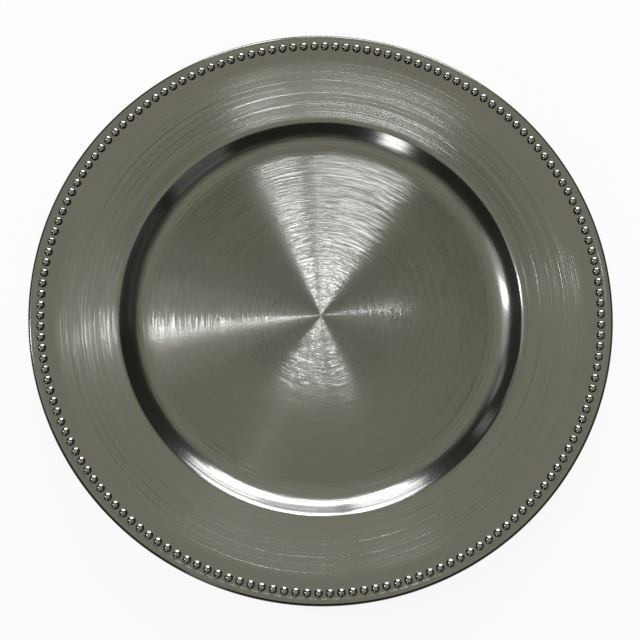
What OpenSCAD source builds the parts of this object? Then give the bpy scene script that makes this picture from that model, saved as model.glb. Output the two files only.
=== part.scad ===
// Charger plate with a beaded rim: a moulded core, a spun-brushed metal face and a ring of beads.
// Z is up, the axis is the middle of the plate, and z = 0 is the plane that the foot ring rests on.

/* [Plate] */
// Diameter over the rolled edge
plate_d = 330; // [290:1:360]
// Diameter of the flat floor of the well
floor_d = 192; // [160:1:210]

/* [Well wall] */
// Radius of the cove that lifts the floor into the wall
cove_r = 21.5; // [14:0.5:26]
// Length of the straight part of the wall
wall_len = 3.65; // [0.5:0.05:5]
// Steepest slope of the wall, in degrees
wall_angle = 42; // [35:1:60]
// Radius of the shoulder that turns the wall out into the rim
shoulder_r = 6; // [4:0.5:10]

/* [Rim] */
// Slope of the rim where it leaves the shoulder, in degrees
rim_angle = 3; // [0:0.5:6]
// Radius of the upward bow of the rim
rim_bow_r = 300; // [240:5:500]

/* [Edge] */
// Radius of the two small bends in the step outside the beads
step_bend_r = 0.8; // [0.6:0.05:1]
// Steepest slope of that step, in degrees
step_angle = 11; // [8:1:30]
// Width of the flat lip between the step and the rolled edge
lip_w = 1.1; // [0.2:0.05:1.5]
// Radius of the rolled edge
roll_r = 1.8; // [1.5:0.1:2.5]
// Height of the upright band under the rolled edge
skirt_h = 1.4; // [0.8:0.05:2]
// Width of the land on which the turned-down edge ends
hem_w = 2.6; // [2:0.1:3.2]
// Chamfer on the inner corner of that land
hem_chamfer = 0.3; // [0.1:0.05:0.5]

/* [Walls] */
// Thickness of the metal face
face_t = 0.4; // [0.3:0.05:0.5]
// Thickness of the moulded core
core_t = 1.6; // [1.2:0.1:2]

/* [Foot] */
// Height of the foot ring below the core
foot_h = 2; // [1.2:0.1:3]
// Width of the flat on which the foot ring rests
foot_w = 2; // [1.5:0.1:4]
// Distance from the edge of the floor in to the root of the foot ring
foot_inset = 2; // [1:0.5:8]
// Draft of each side of the foot ring, from root to flat
foot_draft = 0.5; // [0.2:0.1:1]

/* [Gate mark] */
// Diameter of the shallow recess at the middle of the underside
gate_d = 9; // [6:0.5:14]
// Depth of that recess
gate_h = 0.35; // [0.2:0.05:0.5]
// Diameter of the moulding gate's stub inside the recess
gate_stub_d = 2.4; // [1.5:0.1:4]

/* [Beads] */
// Diameter of one bead
bead_d = 4.9; // [3:0.1:6]
// Smallest gap between two beads
bead_gap = 1.3; // [0.6:0.1:3]
// Distance from the step in to the beads
bead_margin = 1.1; // [0.3:0.1:3]
// Clearance between a bead's flat base and the bowed rim
bead_seat = 0.12; // [0.05:0.01:0.2]

/* [Hidden] */
$fn = 240;

// Steps along each bend of the profile
cove_steps = 14;
shoulder_steps = 10;
step_steps = 4;
roll_steps = 9;

// Longest straight step along the bow of the rim, short enough for the beads' flat bases
rim_step_len = 3.8;

// The plate's main radii and heights, worked out along the top of the face
plate_r = plate_d / 2;
floor_r = floor_d / 2;
floor_z = foot_h + core_t + face_t;
roll_in_r = plate_r - roll_r;
step_out_r = roll_in_r - lip_w;

// The cove turns about a point above the floor, from level to the wall's slope
cove_z = floor_z + cove_r;
wall_in_r = floor_r + cove_r * sin(wall_angle);
wall_low_z = cove_z - cove_r * cos(wall_angle);

// The shoulder turns about a point below it, back to the slope of the rim
wall_out_r = wall_in_r + wall_len * cos(wall_angle);
wall_top_z = wall_low_z + wall_len * sin(wall_angle);
shoulder_mid_r = wall_out_r + shoulder_r * sin(wall_angle);
shoulder_mid_z = wall_top_z - shoulder_r * cos(wall_angle);
rim_in_r = shoulder_mid_r - shoulder_r * sin(rim_angle);
rim_in_z = shoulder_mid_z + shoulder_r * cos(rim_angle);

// The rim is one long bow about a point high above the plate
bow_mid_r = rim_in_r - rim_bow_r * sin(rim_angle);
bow_mid_z = rim_in_z + rim_bow_r * cos(rim_angle);

// Outside the beads the rim bends down a small step, whose place follows from its own slopes
step_fall_w = 2 * step_bend_r * sin(step_angle);
rim_end_sin = (step_out_r - step_fall_w - bow_mid_r) / (rim_bow_r + step_bend_r);
rim_end_angle = asin(rim_end_sin);
rim_out_r = bow_mid_r + rim_bow_r * rim_end_sin;
rim_out_z = bow_mid_z - rim_bow_r * cos(rim_end_angle);
rim_len = (rim_end_angle - rim_angle) * PI / 180 * rim_bow_r;
rim_steps = ceil(rim_len / rim_step_len);
crest_mid_r = rim_out_r + step_bend_r * rim_end_sin;
crest_mid_z = rim_out_z - step_bend_r * cos(rim_end_angle);
lip_z = crest_mid_z + 2 * step_bend_r * cos(step_angle) - step_bend_r;
hem_z = lip_z - roll_r - skirt_h;

// The beads stand square to the rim on one ring, as many as fit with their gap
bead_r = bead_d / 2;
bead_ring_r = rim_out_r - bead_margin - bead_r;
bead_angle = asin((bead_ring_r - bow_mid_r) / rim_bow_r);
bead_z = bow_mid_z - rim_bow_r * cos(bead_angle);
bead_count = floor(2 * PI * bead_ring_r / (bead_d + bead_gap));

// Points of a bend that opens upwards, by the slope at each point
function hollow_bend(mid, r, from, to, steps) =
    [for (i = [0:steps]) let (a = from + (to - from) * i / steps)
        [mid[0] + r * sin(a), mid[1] - r * cos(a)]];

// Points of a bend that is crowned upwards, by the slope at each point
function crowned_bend(mid, r, from, to, steps) =
    [for (i = [0:steps]) let (a = from + (to - from) * i / steps)
        [mid[0] - r * sin(a), mid[1] + r * cos(a)]];

// The well's floor, wall and shoulder at a depth below the top of the face
function well_line(depth) = concat(
    hollow_bend([floor_r, cove_z], cove_r + depth, 0, wall_angle, cove_steps),
    crowned_bend([shoulder_mid_r, shoulder_mid_z], shoulder_r - depth, wall_angle, rim_angle, shoulder_steps));

// The rim at a depth below the top of the face, out to the slope of a given angle
function rim_line(depth, to) =
    hollow_bend([bow_mid_r, bow_mid_z], rim_bow_r + depth, rim_angle, to, rim_steps);

// The step, the lip, the rolled edge and the skirt at a depth below the top of the face
function edge_line(depth) = concat(
    crowned_bend([crest_mid_r, crest_mid_z], step_bend_r - depth, rim_end_angle, -step_angle, step_steps),
    hollow_bend([step_out_r, lip_z + step_bend_r], step_bend_r + depth, -step_angle, 0, step_steps),
    crowned_bend([roll_in_r, lip_z - roll_r], roll_r - depth, 0, -90, roll_steps),
    [[plate_r - depth, hem_z]]);

// The whole profile from the middle of the floor to the bottom of the skirt
function top_line(depth) = concat(
    [[0, floor_z - depth]],
    well_line(depth),
    rim_line(depth, rim_end_angle),
    edge_line(depth));

function reversed(points) = [for (i = [len(points) - 1:-1:0]) points[i]];

// Underside of the rim, which ends where the turned-down edge begins
rim_under_r = plate_r - hem_w - hem_chamfer;
rim_under_angle = asin((rim_under_r - bow_mid_r) / (rim_bow_r + face_t + core_t));
foot_out_r = floor_r - foot_inset;
foot_in_r = foot_out_r - foot_w - 2 * foot_draft;

// Underside of the core, from the middle out: gate mark, foot ring, wall, rim and hem
under_line = concat(
    [[0, foot_h], [gate_stub_d / 2, foot_h]],
    [[gate_stub_d / 2, foot_h + gate_h], [gate_d / 2, foot_h + gate_h], [gate_d / 2 + gate_h, foot_h]],
    [[foot_in_r, foot_h], [foot_in_r + foot_draft, 0]],
    [[foot_out_r - foot_draft, 0], [foot_out_r, foot_h]],
    well_line(face_t + core_t),
    rim_line(face_t + core_t, rim_under_angle),
    [[rim_under_r, hem_z + hem_chamfer], [rim_under_r + hem_chamfer, hem_z]]);

// Moulded core: it carries the face all over and stands on its foot ring
module core_plate() {
    color([0.33, 0.33, 0.29])
        rotate_extrude()
            polygon(concat(under_line, reversed(top_line(face_t))));
}

// Brushed metal face: one spun skin from the floor over the rim and down round the edge
module brushed_face() {
    color([0.43, 0.43, 0.37])
        rotate_extrude()
            polygon(concat(top_line(0), reversed(top_line(face_t))));
}

// One bead: a half ball with a flat base at its own z = 0
module bead() {
    rotate_extrude($fn = 32)
        intersection() {
            circle(r = bead_r);
            square([bead_r, bead_r]);
        }
}

// Ring of separate beads, each seated square on the bowed rim
module bead_border() {
    color([0.60, 0.60, 0.54])
        for (i = [0:bead_count - 1])
            rotate([0, 0, 360 * i / bead_count])
                translate([bead_ring_r, 0, bead_z])
                    rotate([0, -bead_angle, 0])
                        translate([0, 0, bead_seat])
                            bead();
}

core_plate();
brushed_face();
bead_border();
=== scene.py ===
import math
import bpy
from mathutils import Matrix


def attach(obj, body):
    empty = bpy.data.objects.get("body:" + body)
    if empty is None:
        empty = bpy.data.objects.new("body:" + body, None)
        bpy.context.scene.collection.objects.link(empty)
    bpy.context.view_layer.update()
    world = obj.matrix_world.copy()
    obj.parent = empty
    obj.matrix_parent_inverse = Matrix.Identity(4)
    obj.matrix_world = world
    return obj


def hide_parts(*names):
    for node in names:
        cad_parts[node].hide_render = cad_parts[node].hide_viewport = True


bl_info = {
    "name": "Beaded charger plate",
    "version": (1, 0, 0),
    "blender": (4, 5, 0),
    "location": "3D View > Sidebar > Charger plate",
    "description": "Brushed face, moulded core and bead border of a charger plate, with its studio",
    "category": "Object",
}

import bpy
from bpy.props import FloatProperty, FloatVectorProperty, IntProperty, PointerProperty
from mathutils import Matrix, Vector

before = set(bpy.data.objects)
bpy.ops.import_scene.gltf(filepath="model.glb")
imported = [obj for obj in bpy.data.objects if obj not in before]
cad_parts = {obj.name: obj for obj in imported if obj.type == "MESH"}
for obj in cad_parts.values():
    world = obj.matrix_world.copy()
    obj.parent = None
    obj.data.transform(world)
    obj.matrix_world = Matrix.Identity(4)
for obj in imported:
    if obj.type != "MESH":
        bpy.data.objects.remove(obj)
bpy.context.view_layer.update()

MM = 0.001


# Sizes and colours that a user would change


def length(name, about, default):
    """A length in millimetres, kept in metres."""
    return FloatProperty(name=name, description=about, default=default * MM, unit="LENGTH",
                         precision=5)


def slope(name, about, default):
    """An angle in degrees, kept in radians."""
    return FloatProperty(name=name, description=about, default=math.radians(default),
                         unit="ROTATION")


def tint(name, about, default):
    """A colour in linear light."""
    return FloatVectorProperty(name=name, description=about, default=default, size=3,
                               subtype="COLOR", min=0.0, max=1.0)


class PlateSizes(bpy.types.PropertyGroup):
    """Sizes of the plate. They follow the solids', and the radius stays just inside their box"""

    plate_radius: length("Plate radius", "Outer radius over the rolled edge", 164.95)
    floor_radius: length("Floor radius", "Radius of the flat floor of the well", 96)
    cove_radius: length("Cove radius", "Bend that lifts the floor into the wall", 21.5)
    wall_length: length("Wall length", "Straight part of the wall", 3.65)
    wall_slope: slope("Wall slope", "Steepest slope of the wall", 42)
    shoulder_radius: length("Shoulder radius", "Bend from the wall out into the rim", 6)
    rim_slope: slope("Rim slope", "Slope of the rim where it leaves the shoulder", 3)
    rim_bow: length("Rim bow", "Radius of the upward bow of the rim", 300)
    step_bend: length("Step bend", "Radius of both bends of the step outside the beads", 0.8)
    step_slope: slope("Step slope", "Steepest slope of that step", 11)
    lip_width: length("Lip width", "Flat between the step and the rolled edge", 1.1)
    roll_radius: length("Roll radius", "Radius of the rolled edge", 1.8)
    skirt_height: length("Skirt height", "Upright band under the rolled edge", 1.4)
    hem_width: length("Hem width", "Land on which the turned-down edge ends", 2.6)
    hem_chamfer: length("Hem chamfer", "Inner corner of that land", 0.3)
    face_thickness: length("Face thickness", "Thickness of the metal face", 0.4)
    core_thickness: length("Core thickness", "Thickness of the moulded core", 1.6)
    foot_height: length("Foot height", "Height of the foot ring", 2)
    foot_width: length("Foot width", "Flat on which the foot ring rests", 2)
    foot_inset: length("Foot inset", "From the floor's edge in to the foot ring", 2)
    foot_draft: length("Foot draft", "Draft of each side of the foot ring", 0.5)
    foot_round: length("Foot rounding", "Rounding of the foot ring's edges", 0.35)
    gate_radius: length("Gate recess radius", "Recess at the middle of the underside", 4.5)
    gate_depth: length("Gate recess depth", "Depth of that recess", 0.35)
    gate_stub: length("Gate stub radius", "Stub left by the moulding gate", 1.2)
    bead_radius: length("Bead radius", "Radius of one bead", 2.45)
    bead_rise: FloatProperty(name="Bead rise", description="Height of a bead over its radius",
                             default=0.75, min=0.3, max=1.0, subtype="FACTOR")
    bead_margin: length("Bead margin", "From the step in to the beads", 1.1)
    bead_sink: length("Bead sink", "How far a bead's base goes below the rim", 0.12)
    bead_count: IntProperty(name="Beads", description="Number of beads on the ring",
                            default=160, min=3)
    turns: IntProperty(name="Turns", description="Steps of the spin round the axis",
                       default=360, min=24)


class PlateColours(bpy.types.PropertyGroup):
    """Colours of the plate's finishes"""

    pewter: tint("Pewter", "Tinted metal of the face", (0.240, 0.2405, 0.206))
    bead_metal: tint("Bead metal", "Polished metal of the beads", (0.300, 0.297, 0.270))
    lacquer: tint("Lacquer", "Satin lacquer of the underside", (0.105, 0.103, 0.086))


class StudioSettings(bpy.types.PropertyGroup):
    """Camera, lamps and surroundings"""

    aim: FloatVectorProperty(name="Aim", description="Point that the camera looks at", size=3,
                             default=(-0.00098, -0.00641, 0.0195), subtype="TRANSLATION",
                             unit="LENGTH")
    camera_distance: length("Camera distance", "From the aim to the camera", 887.7)
    camera_height: slope("Camera elevation", "Angle of the camera above the table", 77.33)
    camera_side: slope("Camera side", "Direction of the camera round the plate, from +X", -95.365)
    camera_roll: slope("Camera roll", "Turn of the camera about its own axis", 6.17)
    focal_length: FloatProperty(name="Focal length", default=88.80,
                                description="Lens on a 36 mm wide sensor, in millimetres")
    ceiling: tint("Ceiling", "Light of the soft ceiling over the plate", (0.595, 0.582, 0.518))
    dark_cloth: tint("Dark cloth", "Light of the cloth round the plate", (0.040, 0.040, 0.037))
    bank_tint: tint("Softbox bank", "Colour of the softboxes behind the plate", (0.86, 0.875, 1.0))
    spot_tint: tint("Spot", "Colour of the other lamps", (0.86, 0.875, 1.0))


# Modelling helpers

MERGE_DISTANCE = 0.001 * MM
SHARP_ANGLE = math.radians(40)


def clear_selection():
    """Leaves edit mode and deselects everything, the loaded solids too."""
    if bpy.context.object and bpy.context.object.mode != "OBJECT":
        bpy.ops.object.mode_set(mode="OBJECT")
    bpy.ops.object.select_all(action="DESELECT")


def start_vertex(name, point):
    """Merges a new plane to one vertex at a point, and stays in edit mode with it selected."""
    clear_selection()
    bpy.ops.mesh.primitive_plane_add(size=MM, location=point)
    piece = bpy.context.object
    piece.name = name
    piece.data.name = name
    bpy.ops.object.mode_set(mode="EDIT")
    bpy.ops.mesh.select_all(action="SELECT")
    bpy.ops.mesh.merge(type="CENTER")
    return piece


def draw_profile(name, points):
    """Draws (radius, height) points in the XZ plane, one extrusion after another."""
    piece = start_vertex(name, (points[0][0], 0, points[0][1]))
    for here, there in zip(points, points[1:]):
        step = (there[0] - here[0], 0, there[1] - here[1])
        bpy.ops.mesh.extrude_region_move(TRANSFORM_OT_translate={"value": step})
    return piece


def spin_profile(name, points, turns):
    """Spins a profile that starts and ends on the Z axis, and closes its seam and both poles."""
    piece = draw_profile(name, points)
    bpy.ops.mesh.select_all(action="SELECT")
    bpy.ops.mesh.spin(steps=turns, angle=2 * math.pi, center=(0, 0, 0), axis=(0, 0, 1))
    bpy.ops.mesh.select_all(action="SELECT")
    bpy.ops.mesh.remove_doubles(threshold=MERGE_DISTANCE)
    bpy.ops.mesh.normals_make_consistent(inside=False)
    return settle(piece)


def settle(piece):
    """Puts a finished piece's place into its mesh and shades it smooth, but for sharp edges."""
    clear_selection()
    piece.select_set(True)
    bpy.context.view_layer.objects.active = piece
    bpy.ops.object.transform_apply(location=True, rotation=True, scale=True)
    bpy.ops.object.shade_smooth_by_angle(angle=SHARP_ANGLE)
    return piece


def dress(piece, material, body, slot, *nodes):
    """Gives a piece its material and its body, and hides the solids that it stands for. The slot is
    not used.
    """
    piece.data.materials.clear()
    piece.data.materials.append(material)
    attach(piece, body)
    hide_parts(*nodes)


# The plate's profile

# Steps along each bend where it is drawn coarsest
STEPS = {"cove": 8, "shoulder": 6, "rim": 5, "crest": 3, "lip": 2, "roll": 5}

# How many times finer the bends are on the face and under the core
FACE_FINENESS = 4
UNDER_FINENESS = 2

# Rings of points on the face's flat floor, as shares of its radius
FLOOR_RINGS = (0, 0.01, 0.05, 0.15, 0.3, 0.5, 0.7, 0.85, 0.95, 0.985, 0.995)


def hollow_bend(mid, radius, start, end, steps):
    """Points of a bend that opens upwards, by the slope at each point."""
    slopes = [start + (end - start) * i / steps for i in range(steps + 1)]
    return [(mid[0] + radius * math.sin(a), mid[1] - radius * math.cos(a)) for a in slopes]


def crowned_bend(mid, radius, start, end, steps):
    """Points of a bend that is crowned upwards, by the slope at each point."""
    slopes = [start + (end - start) * i / steps for i in range(steps + 1)]
    return [(mid[0] - radius * math.sin(a), mid[1] + radius * math.cos(a)) for a in slopes]


class Profile:
    """The plate's bends, worked out from its sizes as the solids' are.

    cove, shoulder, bow and crest are the points that those bends turn about. A depth is measured
    down from the top of the face, square to it.
    """

    def __init__(self, s):
        self.s = s
        sin, cos = math.sin, math.cos

        # The cove lifts the floor into the wall, and the shoulder turns the wall into the rim
        self.floor_z = s.foot_height + s.core_thickness + s.face_thickness
        self.cove = (s.floor_radius, self.floor_z + s.cove_radius)
        wall_in_r = s.floor_radius + s.cove_radius * sin(s.wall_slope)
        wall_low_z = self.cove[1] - s.cove_radius * cos(s.wall_slope)
        wall_out_r = wall_in_r + s.wall_length * cos(s.wall_slope)
        wall_top_z = wall_low_z + s.wall_length * sin(s.wall_slope)
        self.shoulder = (wall_out_r + s.shoulder_radius * sin(s.wall_slope),
                         wall_top_z - s.shoulder_radius * cos(s.wall_slope))

        # The rim is one long bow about a point high above the plate
        rim_in_r = self.shoulder[0] - s.shoulder_radius * sin(s.rim_slope)
        rim_in_z = self.shoulder[1] + s.shoulder_radius * cos(s.rim_slope)
        self.bow = (rim_in_r - s.rim_bow * sin(s.rim_slope),
                    rim_in_z + s.rim_bow * cos(s.rim_slope))

        # Outside the beads the rim bends down a small step to the lip and the rolled edge
        self.roll_in = s.plate_radius - s.roll_radius
        self.step_out = self.roll_in - s.lip_width
        step_width = 2 * s.step_bend * sin(s.step_slope)
        end_sine = (self.step_out - step_width - self.bow[0]) / (s.rim_bow + s.step_bend)
        self.rim_end = math.asin(end_sine)
        rim_out_r = self.bow[0] + s.rim_bow * end_sine
        rim_out_z = self.bow[1] - s.rim_bow * cos(self.rim_end)
        self.crest = (rim_out_r + s.step_bend * end_sine,
                      rim_out_z - s.step_bend * cos(self.rim_end))
        self.lip_z = self.crest[1] + 2 * s.step_bend * cos(s.step_slope) - s.step_bend
        self.hem_z = self.lip_z - s.roll_radius - s.skirt_height

        # The beads stand square to the rim on one ring
        self.bead_ring = rim_out_r - s.bead_margin - s.bead_radius
        self.bead_slope = math.asin((self.bead_ring - self.bow[0]) / s.rim_bow)
        self.bead_z = self.bow[1] - s.rim_bow * cos(self.bead_slope)

    def floor(self, depth, shares):
        """The flat floor, with a ring at each share of its radius."""
        return [(share * self.s.floor_radius, self.floor_z - depth) for share in shares]

    def well(self, depth, fineness):
        """Cove, wall and shoulder."""
        s = self.s
        cove = hollow_bend(self.cove, s.cove_radius + depth, 0, s.wall_slope,
                           STEPS["cove"] * fineness)
        shoulder = crowned_bend(self.shoulder, s.shoulder_radius - depth, s.wall_slope,
                                s.rim_slope, STEPS["shoulder"] * fineness)
        return cove + shoulder

    def rim(self, depth, end, fineness):
        """The bowed rim, out to a slope."""
        return hollow_bend(self.bow, self.s.rim_bow + depth, self.s.rim_slope, end,
                           STEPS["rim"] * fineness)

    def edge(self, depth, fineness):
        """Step, lip, rolled edge and skirt."""
        s = self.s
        crest = crowned_bend(self.crest, s.step_bend - depth, self.rim_end, -s.step_slope,
                             STEPS["crest"] * fineness)
        lip = hollow_bend((self.step_out, self.lip_z + s.step_bend), s.step_bend + depth,
                          -s.step_slope, 0, STEPS["lip"] * fineness)
        roll = crowned_bend((self.roll_in, self.lip_z - s.roll_radius), s.roll_radius - depth,
                            0, -math.pi / 2, STEPS["roll"] * fineness)
        return crest + lip + roll + [(s.plate_radius - depth, self.hem_z)]

    def line(self, depth, fineness, floor_rings):
        """The whole line from the middle of the floor to the bottom of the skirt."""
        return (self.floor(depth, floor_rings) + self.well(depth, fineness)
                + self.rim(depth, self.rim_end, fineness) + self.edge(depth, fineness))

    def top(self):
        """The top of the face, from the middle out."""
        return self.line(0, FACE_FINENESS, FLOOR_RINGS)

    def seat(self):
        """The line on which the face lies on the core, from the skirt back to the middle."""
        return self.line(self.s.face_thickness, 1, (0,))[::-1]

    def gate_mark(self):
        """Shallow recess at the middle of the underside, round the stub of the gate."""
        s = self.s
        root = s.foot_height
        roof = root + s.gate_depth
        return [(0, root), (s.gate_stub * 0.9, root), (s.gate_stub, root + 0.1 * s.foot_round),
                (s.gate_stub, roof), (s.gate_radius, roof), (s.gate_radius + s.gate_depth, root)]

    def foot_ring(self):
        """Foot ring from the flat inside it to its outer root, drafted and eased at its edges."""
        s = self.s
        root, ease = s.foot_height, s.foot_round
        nick = 0.3 * ease
        outer = s.floor_radius - s.foot_inset
        inner = outer - s.foot_width - 2 * s.foot_draft
        flat_in, flat_out = inner + s.foot_draft, outer - s.foot_draft
        return [(inner * 0.5, root), (inner - ease, root), (inner, root - nick),
                (flat_in - nick, ease), (flat_in, nick), (flat_in + ease, 0),
                (flat_out - ease, 0), (flat_out, nick), (flat_out + nick, ease),
                (outer, root - nick), (outer + ease, root)]

    def under(self):
        """The underside from the middle out: gate mark, foot ring, wall, rim and hem."""
        s = self.s
        depth = s.face_thickness + s.core_thickness
        hem_in = s.plate_radius - s.hem_width - s.hem_chamfer
        hem_slope = math.asin((hem_in - self.bow[0]) / (s.rim_bow + depth))
        hem = [(hem_in, self.hem_z + s.hem_chamfer), (hem_in + s.hem_chamfer, self.hem_z)]
        return (self.gate_mark() + self.foot_ring() + self.well(depth, UNDER_FINENESS)
                + self.rim(depth, hem_slope, UNDER_FINENESS) + hem)


# Shader trees as expressions

# A Mix node has a socket of the same name for each type of data, and these are its colours
MIX_FIRST, MIX_SECOND, MIX_RESULT = 6, 7, 2


class Wire:
    """One output socket. Sums and products of wires add Math nodes."""

    def __init__(self, tree, socket):
        self.tree = tree
        self.socket = socket

    def math(self, operation, *others):
        """A Math node on this wire."""
        return self.tree.add("ShaderNodeMath", {"operation": operation}, self, *others)

    def __add__(self, other):
        return self.math("ADD", other)

    def __sub__(self, other):
        return self.math("SUBTRACT", other)

    def __rsub__(self, other):
        return self.tree.add("ShaderNodeMath", {"operation": "SUBTRACT"}, other, self)

    def __mul__(self, other):
        return self.math("MULTIPLY", other)

    def __truediv__(self, other):
        return self.math("DIVIDE", other)

    __radd__ = __add__
    __rmul__ = __mul__


class Tree:
    """A shader tree under construction."""

    def __init__(self, owner):
        owner.use_nodes = True
        self.nodes = owner.node_tree.nodes
        self.links = owner.node_tree.links
        self.nodes.clear()

    def add(self, kind, settings=None, *values, out=0, **named):
        """Adds a node of a type, sets it up, then fills its sockets in order and by name."""
        node = self.nodes.new(kind)
        for key, value in (settings or {}).items():
            setattr(node, key, value)
        for socket, value in zip(node.inputs, values):
            self.fill(socket, value)
        for key, value in named.items():
            self.fill(node.inputs[key.replace("_", " ")], value)
        return Wire(self, node.outputs[out]) if node.outputs else node

    def fill(self, socket, value):
        """Links a wire to a socket, or sets a plain value on it."""
        if isinstance(value, Wire):
            self.links.new(value.socket, socket)
        elif value is not None:
            socket.default_value = value

    def fade(self, value, start, end):
        """A smooth step from 0 at start to 1 at end."""
        return self.add("ShaderNodeMapRange", {"interpolation_type": "SMOOTHSTEP"},
                        value, start, end, 0, 1)

    def vector(self, operation, first, second=None, out="Vector"):
        """A Vector Math node. Its lengths and products are its output "Value"."""
        return self.add("ShaderNodeVectorMath", {"operation": operation}, first, second, out=out)

    def scaled(self, vector, factor):
        """A vector times a number."""
        return self.add("ShaderNodeVectorMath", {"operation": "SCALE"}, vector, Scale=factor)

    def upright(self, height):
        """A vector that points straight up by a height."""
        return self.add("ShaderNodeCombineXYZ", None, 0, 0, height)

    def noise(self, vector, scale, detail, rough=0.5):
        """Noise from 0 to 1, about 0.5. On a place, the scale is its grains to a metre."""
        return self.add("ShaderNodeTexNoise", {"noise_dimensions": "3D"},
                        vector, None, scale, detail, rough)

    def mix(self, factor, first, second):
        """Mixes two colours."""
        node = self.nodes.new("ShaderNodeMix")
        node.data_type = "RGBA"
        self.fill(node.inputs["Factor"], factor)
        self.fill(node.inputs[MIX_FIRST], first)
        self.fill(node.inputs[MIX_SECOND], second)
        return Wire(self, node.outputs[MIX_RESULT])

    def blend(self, factor, first, second):
        """Mixes two shaders."""
        return self.add("ShaderNodeMixShader", None, factor, first, second)

    def surface(self, shader, kind="ShaderNodeOutputMaterial"):
        """Ends the tree in an output node."""
        self.add(kind, None, shader)


def opaque(colour, factor=1.0):
    """A colour with alpha, as a shader's socket takes it."""
    return (colour[0] * factor, colour[1] * factor, colour[2] * factor, 1.0)


class Rings:
    """Places on the plate and patterns that run round its axis.

    Its methods take radii, widths and sizes in millimetres.
    """

    def __init__(self, tree):
        self.tree = tree
        self.place = tree.add("ShaderNodeTexCoord", out="Object")
        flat = tree.vector("MULTIPLY", self.place, (1, 1, 0))
        self.radius = tree.vector("LENGTH", flat, out="Value")
        self.spoke = tree.vector("NORMALIZE", flat)
        self.normal = tree.add("ShaderNodeNewGeometry", out="Normal")

    def zone(self, start, end):
        """A smooth step from 0 at one radius to 1 at another."""
        return self.tree.fade(self.radius, start * MM, end * MM)

    def line(self, radius, width):
        """A thin line at a radius: 1 on it and 0 beside it."""
        off = (self.radius - radius * MM).math("ABSOLUTE")
        return 1 - self.tree.fade(off, 0.0, width * MM)

    def specks(self, size):
        """Fine even noise, about zero."""
        return self.tree.noise(self.place, 1 / (size * MM), 0.0) - 0.5

    def arcs(self, width, breaks, detail, rough=0.5, seed=0.0):
        """Noise drawn out into arcs, about zero. The more breaks, the shorter the arcs."""
        tree = self.tree
        across = tree.upright(self.radius / (width * MM) + seed)
        along = tree.scaled(self.spoke, breaks)
        return tree.noise(tree.vector("ADD", along, across), 1.0, detail, rough) - 0.5

    def leaning(self, slope, skew=None):
        """The surface's normal, leaned outwards by a slope and sideways by a skew."""
        tree = self.tree
        normal = tree.vector("ADD", self.normal, tree.scaled(self.spoke, slope))
        if skew is not None:
            side = tree.vector("CROSS_PRODUCT", (0, 0, 1), self.spoke)
            normal = tree.vector("ADD", normal, tree.scaled(side, skew))
        return tree.vector("NORMALIZE", normal)


# Finishes

BLACK = (0.0, 0.0, 0.0, 1.0)
WHITE = (1.0, 1.0, 1.0, 1.0)
BARE_METAL = (1.0, 1.0, 0.97, 1.0)

# How far metal draws its highlights out, and the share of a turn that draws them outwards,
# across the lines of the brush
BRUSHED_SPREAD = 0.90
POLISHED_SPREAD = 0.6
OUTWARDS = 0.25

# Deeper grooves of the brush: radius in millimetres and strength
GROOVES = (
    (95.4, 0.4), (98.6, 0.6), (101.2, 0.5), (117.6, 0.3), (121.0, 0.3), (124.4, 0.65),
    (131.0, 0.7), (134.1, 0.4), (138.2, 0.9), (142.6, 0.35), (147.0, 0.4), (161.2, 0.7),
)
GROOVE_WIDTH = 0.70

# Brushed lines in the smooth zones: radius and width in millimetres, and share of brushed metal
STRAY_LINES = ((161.2, 0.8, 0.5), (98.6, 0.7, 0.3), (101.2, 0.7, 0.4))


def metal(tree, colour, roughness, normal, spread=0.0, turn=0.0):
    """Principled metal, whose highlights may be drawn out one way."""
    return tree.add("ShaderNodeBsdfPrincipled", None, Base_Color=colour, Metallic=1.0,
                    Roughness=roughness, Anisotropic=spread, Anisotropic_Rotation=turn,
                    Normal=normal)


class Brushing(Rings):
    """What the brush left on the face: its zones, from 0 to 1, and its patterns, about zero."""

    def __init__(self, tree):
        super().__init__(tree)
        self.off_floor = self.zone(95, 103)
        self.on_rim = self.zone(114.5, 118)
        self.satin = self.zone(144, 152)
        self.to_floor_edge = self.zone(22, 76)
        self.speck = self.specks(0.47)
        self.fine = self.arcs(0.36, breaks=7.0, detail=0.0, seed=31.0)
        self.long = self.arcs(0.41, breaks=0.8, detail=1.0, rough=0.8, seed=77.0)
        self.groove = self.arcs(0.62, breaks=0.9, detail=0.0, seed=19.0)
        self.band = self.arcs(2.4, breaks=1.2, detail=1.0, seed=53.0)

    def by_zone(self, middle, floor_edge, rim):
        """A number that has one value at the floor's middle, one at its edge and one on the rim."""
        return (middle + self.to_floor_edge * (floor_edge - middle)
                + self.on_rim * (rim - floor_edge))

    def streaks(self):
        """Slope that the arcs of the brush add to a groove's flanks."""
        return (self.fine * self.by_zone(0.15, 0.14, 0.03)
                + self.long * self.by_zone(0.16, 0.17, 0.07)
                + self.groove * self.on_rim * 0.24
                + self.band * self.by_zone(0.05, 0.02, 0.04)
                + self.speck * self.by_zone(0.10, 0.07, 0.0))

    def scores(self):
        """Depth of long threads and of the deeper grooves, uneven along their length."""
        threads = self.arcs(0.50, breaks=0.7, detail=0.0, seed=91.0)
        depth = self.tree.fade(threads, 0.0, 0.28) * self.by_zone(0.0, 0.14, 0.48)
        for radius, strength in GROOVES:
            depth = self.line(radius, GROOVE_WIDTH) * strength + depth
        return depth * (0.5 + self.fine * 0.8 + self.long * 1.6)

    def cover(self):
        """Share of the face that is brushed: floor, inner rim and a few lines elsewhere."""
        share = (1 - self.off_floor) + self.on_rim * (1 - self.satin)
        for radius, width, strength in STRAY_LINES:
            share = share + self.line(radius, width) * strength
        return share


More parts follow.
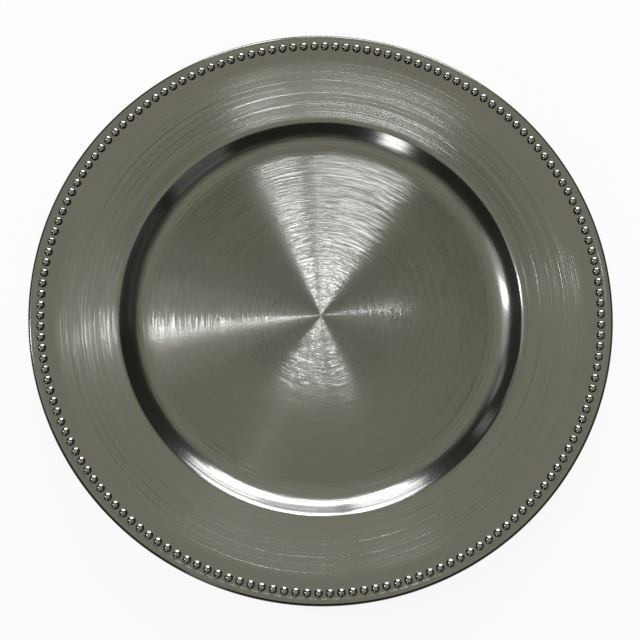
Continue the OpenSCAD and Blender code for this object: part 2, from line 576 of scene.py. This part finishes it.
def groove_flanks(brush, pewter):
    """Brushed metal whose grooves have an outer and an inner flank.

    Each flank is a metal of its own that leans its own way, and the brush's arcs shift both
    slopes and the share of each flank.
    """
    tree = brush.tree
    fine, long, speck, by_zone = brush.fine, brush.long, brush.speck, brush.by_zone
    streaks, scores = brush.streaks(), brush.scores()
    on_cove = brush.off_floor * (1 - brush.on_rim)

    outer = by_zone(0.352, 0.294, 0.264) + streaks + scores * by_zone(0.45, 0.45, 0.14)
    outer = outer + on_cove * 0.18
    inner = brush.zone(35, 88) * 0.48 - 0.30 - brush.on_rim * 0.34
    inner = inner + streaks * by_zone(2.2, 1.0, 0.4) - scores * by_zone(1.0, 1.0, 0.32)
    skew = (fine * by_zone(0.075, 0.075, 0.125) + long * by_zone(0.06, 0.06, 0.10)
            + speck * by_zone(0.03, 0.03, 0.0))

    # Lighter at the middle and on the rim, and a touch darker towards the floor's edge, where the
    # darkening is painted shade of the deeper grooves
    painted_groove_shade = brush.zone(45, 85) * (1 - brush.on_rim) * 0.02
    bright = (1 - brush.zone(18, 62)) * 0.050 + brush.on_rim * 0.028
    tone = tree.mix(bright, tree.mix(painted_groove_shade, pewter, BLACK), BARE_METAL)

    flank_out = metal(tree, tone, by_zone(0.272, 0.245, 0.229), brush.leaning(outer, skew),
                      BRUSHED_SPREAD, OUTWARDS)
    flank_in = metal(tree, tone, by_zone(0.272, 0.205, 0.169), brush.leaning(inner, skew),
                     BRUSHED_SPREAD, OUTWARDS)
    share = (0.5 + speck * by_zone(0.9, 0.9, 0.15) + fine * by_zone(0.60, 0.60, 0.10)
             + long * by_zone(0.70, 0.70, 0.20) + brush.groove * brush.on_rim * 0.7)
    return tree.blend(share, flank_in, flank_out)


def smooth_bends(brush, pewter, colours):
    """Polished cove and shoulder, the satin ring by the beads, and a dark line of painted shade at
    the edge.

    The bands of light in the well's bends lie a little towards the front of the plate, so the
    normals of the shoulder and the cove lean a little along Y.
    """
    tree = brush.tree
    wave = brush.arcs(3.0, breaks=2.2, detail=2.0, seed=11.0)
    shoulder = brush.zone(112, 114.5) - brush.zone(116, 120)
    cove = brush.zone(98, 104) - brush.zone(108, 112)
    to_back = tree.add("ShaderNodeSeparateXYZ", None, brush.spoke, out="Y")
    slope = wave * 0.06 + brush.fine * 0.11 + brush.long * 0.17
    slope = slope + to_back * (shoulder * 0.22 - cove * 0.07)
    # Painted shade: from 163.4 mm to 164.1 mm the rolled edge darkens to 0.18 of the pewter, in
    # place of the shadow and dark surroundings that it would reflect
    tone = tree.mix(brush.zone(163.4, 164.1), pewter, opaque(colours.pewter, 0.18))
    return metal(tree, tone, 0.185 - brush.satin * 0.025, brush.leaning(slope),
                 POLISHED_SPREAD, OUTWARDS)


def brushed_pewter(colours):
    """Face: tinted metal, spun-brushed on its floor and inner rim and smooth between them."""
    material = bpy.data.materials.new("brushed_pewter")
    tree = Tree(material)
    brush = Brushing(tree)
    pewter = tree.mix(0.5 + brush.fine + brush.long, opaque(colours.pewter, 0.94),
                      opaque(colours.pewter, 1.06))
    tree.surface(tree.blend(brush.cover(), smooth_bends(brush, pewter, colours),
                            groove_flanks(brush, pewter)))
    return material


def polished_pewter(colours):
    """Beads: polished metal with faint handling marks, and painted shade at the foot of each."""
    material = bpy.data.materials.new("polished_pewter")
    tree = Tree(material)
    rings = Rings(tree)
    marks = tree.noise(rings.place, 900.0, 3.0, 0.6)

    # A bead's UV map runs from 0 at its lower pole to 1 at its top, and its foot is at the middle
    height = tree.add("ShaderNodeSeparateXYZ", None, tree.add("ShaderNodeTexCoord", out="UV"),
                      out="Y")
    # Painted shade: near each bead's foot the metal is darkened to a tenth, fading back by about 40
    # degrees up the dome, in place of the shadow and dark surroundings that the lower flanks would
    # show
    above_painted_shade = tree.fade(height, 0.54, 0.72)
    bright = tree.mix(marks, opaque(colours.bead_metal, 0.94), opaque(colours.bead_metal, 1.05))
    tone = tree.mix(above_painted_shade, opaque(colours.bead_metal, 0.10), bright)
    tree.surface(metal(tree, tone, 0.04 + marks * 0.04, rings.normal))
    return material


def satin_lacquer(colours):
    """Core: moulded plastic under a satin metallic lacquer, with faint tool rings."""
    material = bpy.data.materials.new("satin_lacquer")
    tree = Tree(material)
    rings = Rings(tree)
    peel = tree.noise(rings.place, 700.0, 3.0, 0.55)
    cloud = tree.noise(rings.place, 22.0, 3.0, 0.5)
    tool = rings.arcs(1.6, breaks=0.5, detail=1.0)
    tone = tree.mix(cloud, opaque(colours.lacquer, 0.88), opaque(colours.lacquer, 1.12))
    relief = peel * (0.02 * MM) + tool * (0.012 * MM)
    normal = tree.add("ShaderNodeBump", None, Strength=1.0, Distance=1.0, Height=relief)
    tree.surface(tree.add("ShaderNodeBsdfPrincipled", None, Base_Color=tone, Metallic=0.55,
                          Roughness=0.42 + cloud * 0.1, Normal=normal))
    return material


# The pieces

BEAD_SEGMENTS = 16
BEAD_RINGS = 12


class PLATE_OT_spin_face(bpy.types.Operator):
    """Spin the brushed metal face from its profile"""

    bl_idname = "plate.spin_face"
    bl_label = "Brushed face"

    def execute(self, context):
        sizes, colours = context.scene.plate_sizes, context.scene.plate_colours
        profile = Profile(sizes)
        face = spin_profile("brushed_face_skin", profile.top() + profile.seat(), sizes.turns)
        dress(face, brushed_pewter(colours), "root", "face", "brushed_face")
        return {"FINISHED"}


class PLATE_OT_spin_core(bpy.types.Operator):
    """Spin the moulded core with its foot ring and turned-down edge"""

    bl_idname = "plate.spin_core"
    bl_label = "Moulded core"

    def execute(self, context):
        sizes, colours = context.scene.plate_sizes, context.scene.plate_colours
        profile = Profile(sizes)
        core = spin_profile("moulded_core", profile.under() + profile.seat(), sizes.turns)
        dress(core, satin_lacquer(colours), "root", "core", "core_plate")
        return {"FINISHED"}


class PLATE_OT_ring_of_beads(bpy.types.Operator):
    """Model one bead, seat it on the rim and repeat it round the plate"""

    bl_idname = "plate.ring_of_beads"
    bl_label = "Bead border"

    def execute(self, context):
        sizes, colours = context.scene.plate_sizes, context.scene.plate_colours
        profile = Profile(sizes)
        clear_selection()
        bpy.ops.mesh.primitive_uv_sphere_add(segments=BEAD_SEGMENTS, ring_count=BEAD_RINGS,
                                             radius=sizes.bead_radius)
        beads = bpy.context.object
        beads.name = "polished_beads"
        beads.data.name = "polished_beads"
        bpy.ops.object.mode_set(mode="EDIT")
        bpy.ops.mesh.select_all(action="SELECT")
        bpy.ops.transform.resize(value=(1, 1, sizes.bead_rise))
        bpy.ops.mesh.bisect(plane_co=(0, 0, -sizes.bead_sink), plane_no=(0, 0, 1),
                            clear_inner=True, use_fill=True)
        bpy.ops.mesh.select_all(action="SELECT")
        bpy.ops.transform.rotate(value=profile.bead_slope, orient_axis="Y",
                                 center_override=(0, 0, 0))
        bpy.ops.transform.translate(value=(profile.bead_ring, 0, profile.bead_z))
        share = (sizes.bead_count - 1) / sizes.bead_count
        bpy.ops.mesh.spin(steps=sizes.bead_count - 1, angle=2 * math.pi * share, dupli=True,
                          center=(0, 0, 0), axis=(0, 0, 1))
        bpy.ops.mesh.select_all(action="SELECT")
        bpy.ops.mesh.normals_make_consistent(inside=False)
        settle(beads)
        dress(beads, polished_pewter(colours), "root", "beads", "bead_border")
        return {"FINISHED"}


# The studio

# Sizes in metres
TABLE_SIZE = 7.0
TENT_RADIUS = 4.0
TENT_LOW_EDGE = -0.5
TENT_SEGMENTS, TENT_RINGS = 48, 24
LAMP_DISTANCE = 3.4

# The camera's sensor in millimetres, and the range that it sees in metres
SENSOR_WIDTH = 36.0
NEAREST, FURTHEST = 0.01, 50.0

# Grey of the matt table, and the share of plain white in it where it is seen
TABLE_GREY = (0.86, 0.86, 0.86, 1.0)
TABLE_WHITE = 0.92

# Middle of the ceiling, by azimuth and by angle from overhead, and the angles off it between
# which the dark cloth turns into the ceiling, in degrees
CEILING_MIDDLE = (90, 3)
CLOTH_TOP, CEILING_EDGE = 53, 33

# Lamps: name, range of azimuth from +X and of angle from overhead in degrees, radiance, colour
LAMPS = (
    ("bank_wide", (64.2, 93.0), (61.0, 74.0), 22.0, "bank_tint"),
    ("bank_narrow", (96.0, 107.8), (61.0, 74.0), 27.5, "bank_tint"),
    ("bank_low_wide", (58.0, 75.0), (74.0, 89.5), 6.0, "bank_tint"),
    ("bank_low_middle", (75.0, 92.8), (74.0, 82.0), 6.0, "bank_tint"),
    ("bank_low_narrow", (96.2, 112.5), (74.0, 89.5), 6.0, "bank_tint"),
    ("back_low_strip", (131.0, 137.0), (72.0, 89.0), 0.5, "bank_tint"),
    ("left_spot", (167.2, 171.8), (40.5, 50.5), 32.0, "spot_tint"),
    ("left_glow", (150.0, 189.0), (37.0, 54.0), 0.9, "spot_tint"),
    ("left_fill", (139.0, 151.0), (54.0, 66.0), 0.7, "spot_tint"),
    ("front_strip", (239.5, 248.5), (54.0, 68.0), 8.0, "spot_tint"),
    ("front_fill", (309.0, 333.0), (54.0, 70.0), 0.36, "spot_tint"),
    ("right_fill", (340.0, 380.0), (60.0, 74.0), 0.12, "spot_tint"),
)


def on_sky(azimuth, zenith, distance):
    """A point at a distance from the plate, by its azimuth and its angle from overhead."""
    side, down = math.radians(azimuth), math.radians(zenith)
    across = math.sin(down)
    return Vector((math.cos(side) * across, math.sin(side) * across, math.cos(down))) * distance


def add_lamp(name, azimuths, zeniths, radiance, colour):
    """An area lamp that faces the plate, fills a patch of sky and has a set radiance."""
    clear_selection()
    azimuth, zenith = sum(azimuths) / 2, sum(zeniths) / 2
    across = math.radians(azimuths[1] - azimuths[0]) / 2
    tall = math.radians(zeniths[1] - zeniths[0]) / 2
    place = on_sky(azimuth, zenith, LAMP_DISTANCE)
    bpy.ops.object.light_add(type="AREA", location=place)
    lamp = bpy.context.object
    lamp.name = name
    lamp.data.shape = "RECTANGLE"
    lamp.data.size = 2 * LAMP_DISTANCE * math.sin(math.radians(zenith)) * math.tan(across)
    lamp.data.size_y = 2 * LAMP_DISTANCE * math.tan(tall)
    lamp.data.energy = radiance * math.pi * lamp.data.size * lamp.data.size_y
    lamp.data.color = colour
    lamp.rotation_euler = (-place).to_track_quat("-Z", "Y").to_euler()
    lamp.visible_camera = False


def seen_ray(tree):
    """1 for the rays that show the surroundings: camera, glossy and transmission rays."""
    seen = tree.add("ShaderNodeLightPath", out="Is Camera Ray")
    for kind in ("Is Glossy Ray", "Is Transmission Ray"):
        seen = seen.math("MAXIMUM", tree.add("ShaderNodeLightPath", out=kind))
    return seen


def white_table():
    """Matt table that is white to the camera and to the metal, and keeps the plate's shadow.

    From below it is clear, so that the underside of the plate can be seen.
    """
    material = bpy.data.materials.new("white_table")
    tree = Tree(material)
    matt = tree.add("ShaderNodeBsdfDiffuse", None, Color=TABLE_GREY)
    white = tree.add("ShaderNodeEmission", None, Color=WHITE, Strength=1.0)
    top = tree.blend(seen_ray(tree) * TABLE_WHITE, matt, white)
    from_below = tree.add("ShaderNodeNewGeometry", out="Backfacing")
    tree.surface(tree.blend(from_below, top, tree.add("ShaderNodeBsdfTransparent")))
    return material


def tent_cloth(studio):
    """Dark cloth up to a soft pale ceiling, as light given off by the tent."""
    material = bpy.data.materials.new("tent_cloth")
    tree = Tree(material)
    place = tree.add("ShaderNodeTexCoord", out="Object")
    middle = tuple(on_sky(*CEILING_MIDDLE, 1))
    up = tree.vector("DOT_PRODUCT", tree.vector("NORMALIZE", place), middle, out="Value")
    high = tree.fade(up, math.cos(math.radians(CLOTH_TOP)), math.cos(math.radians(CEILING_EDGE)))
    colour = tree.mix(high, opaque(studio.dark_cloth), opaque(studio.ceiling))
    tree.surface(tree.add("ShaderNodeEmission", None, Color=colour, Strength=1.0))
    return material


class PLATE_OT_set_stage(bpy.types.Operator):
    """Set the table, the tent, the lamps and the camera"""

    bl_idname = "plate.set_stage"
    bl_label = "Studio"

    def execute(self, context):
        studio = context.scene.plate_studio
        self.set_table()
        self.set_tent(studio)
        for name, azimuths, zeniths, radiance, colour in LAMPS:
            add_lamp(name, azimuths, zeniths, radiance, getattr(studio, colour))
        self.set_camera(context, studio)
        self.set_world(context)
        context.scene.view_settings.view_transform = "Standard"
        return {"FINISHED"}

    def set_table(self):
        """The pale table on which the plate stands."""
        clear_selection()
        bpy.ops.mesh.primitive_plane_add(size=TABLE_SIZE)
        table = bpy.context.object
        table.name = "table"
        table.data.materials.append(white_table())

    def set_tent(self, studio):
        """The tent round the plate, which only its metal sees."""
        clear_selection()
        bpy.ops.mesh.primitive_uv_sphere_add(segments=TENT_SEGMENTS, ring_count=TENT_RINGS,
                                             radius=TENT_RADIUS)
        tent = bpy.context.object
        tent.name = "tent"
        bpy.ops.object.mode_set(mode="EDIT")
        bpy.ops.mesh.select_all(action="SELECT")
        bpy.ops.mesh.bisect(plane_co=(0, 0, TENT_LOW_EDGE), plane_no=(0, 0, 1), clear_inner=True)
        bpy.ops.mesh.select_all(action="SELECT")
        bpy.ops.mesh.normals_make_consistent(inside=True)
        clear_selection()
        tent.data.materials.append(tent_cloth(studio))
        tent.visible_camera = False
        tent.visible_shadow = False

    def set_camera(self, context, studio):
        """The camera over the plate's front, turned a little about its own axis."""
        clear_selection()
        side, height = studio.camera_side, studio.camera_height
        back = Vector((math.cos(side) * math.cos(height), math.sin(side) * math.cos(height),
                       math.sin(height)))
        place = Vector(studio.aim) + back * studio.camera_distance
        bpy.ops.object.camera_add(location=place)
        camera = bpy.context.object
        camera.name = "camera"
        level = (-back).to_track_quat("-Z", "Y").to_matrix()
        turned = level @ Matrix.Rotation(studio.camera_roll, 3, "Z")
        camera.rotation_euler = turned.to_euler()
        camera.data.lens = studio.focal_length
        camera.data.sensor_width = SENSOR_WIDTH
        camera.data.clip_start = NEAREST
        camera.data.clip_end = FURTHEST
        context.scene.camera = camera

    def set_world(self, context):
        """White to the rays that show the surroundings, and no light of its own."""
        world = bpy.data.worlds.new("studio")
        context.scene.world = world
        tree = Tree(world)
        shown = tree.add("ShaderNodeBackground", None, WHITE, seen_ray(tree))
        tree.surface(shown, "ShaderNodeOutputWorld")


# The add-on


class PLATE_PT_sidebar(bpy.types.Panel):
    """Lists the plate's operators"""

    bl_idname = "PLATE_PT_sidebar"
    bl_label = "Charger plate"
    bl_space_type = "VIEW_3D"
    bl_region_type = "UI"
    bl_category = "Charger plate"

    def draw(self, context):
        for operator in OPERATORS:
            self.layout.operator(operator.bl_idname)


SETTINGS = (PlateSizes, PlateColours, StudioSettings)
OPERATORS = (PLATE_OT_spin_face, PLATE_OT_spin_core, PLATE_OT_ring_of_beads, PLATE_OT_set_stage)
CLASSES = SETTINGS + OPERATORS + (PLATE_PT_sidebar,)


def register():
    for kind in CLASSES:
        bpy.utils.register_class(kind)
    bpy.types.Scene.plate_sizes = PointerProperty(type=PlateSizes)
    bpy.types.Scene.plate_colours = PointerProperty(type=PlateColours)
    bpy.types.Scene.plate_studio = PointerProperty(type=StudioSettings)


def unregister():
    del bpy.types.Scene.plate_studio
    del bpy.types.Scene.plate_colours
    del bpy.types.Scene.plate_sizes
    for kind in reversed(CLASSES):
        bpy.utils.unregister_class(kind)


def main():
    register()
    bpy.ops.plate.spin_face()
    bpy.ops.plate.spin_core()
    bpy.ops.plate.ring_of_beads()
    bpy.ops.plate.set_stage()


if __name__ == "__main__":
    main()
